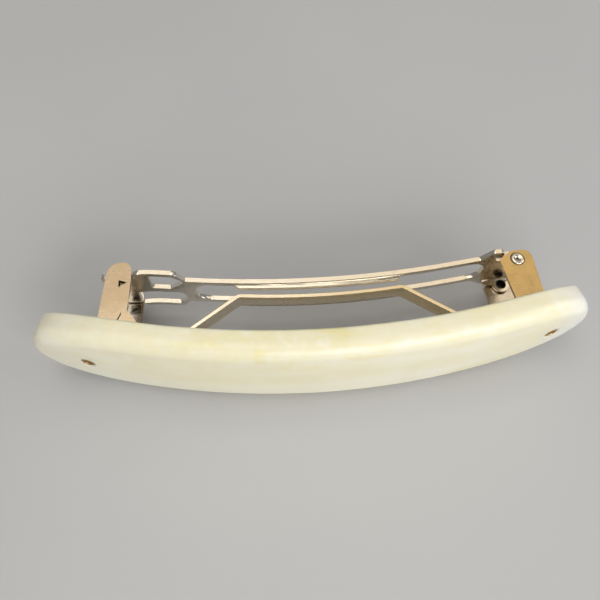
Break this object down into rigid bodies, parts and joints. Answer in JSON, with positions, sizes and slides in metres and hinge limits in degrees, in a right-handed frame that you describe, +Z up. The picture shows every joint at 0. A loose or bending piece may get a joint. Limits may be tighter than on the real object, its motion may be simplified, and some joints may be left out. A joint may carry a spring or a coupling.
{
  "type": "hair barrette",
  "caption": "Bowed ivory-coloured hair barrette on a metal French clip with a swinging clamp arm, a tension spring, catch ears and hollow rivets.",
  "frame": {"origin": "bottom centre of the closed barrette's bounding box", "axes": "+X along the bar towards the hinge end, +Y from the decorative face to the clip, +Z up across the bar's width"},
  "size_m": [0.0936, 0.0218, 0.0192],
  "materials": {
    "plate_resin": "polished",
    "base_nickel": "bright nickel plate",
    "arm_nickel": "bright nickel plate",
    "spring_steel": "bright nickel plate",
    "rivet_brass": "satin"
  },
  "bodies": {
    "base": {"plate": "plate_resin", "clip_base": "base_nickel", "tension_spring": "spring_steel", "rivet_left": "rivet_brass", "rivet_right": "rivet_brass"},
    "arm": {"clamp_arm": "arm_nickel"}
  },
  "joints": [
    {"name": "arm_hinge", "type": "hinge", "parent": "base", "child": "arm", "pos_m": [0.0352, 0.00655, 0.0096], "axis": [0, 0, -1], "range_deg": [0, 90]}
  ]
}
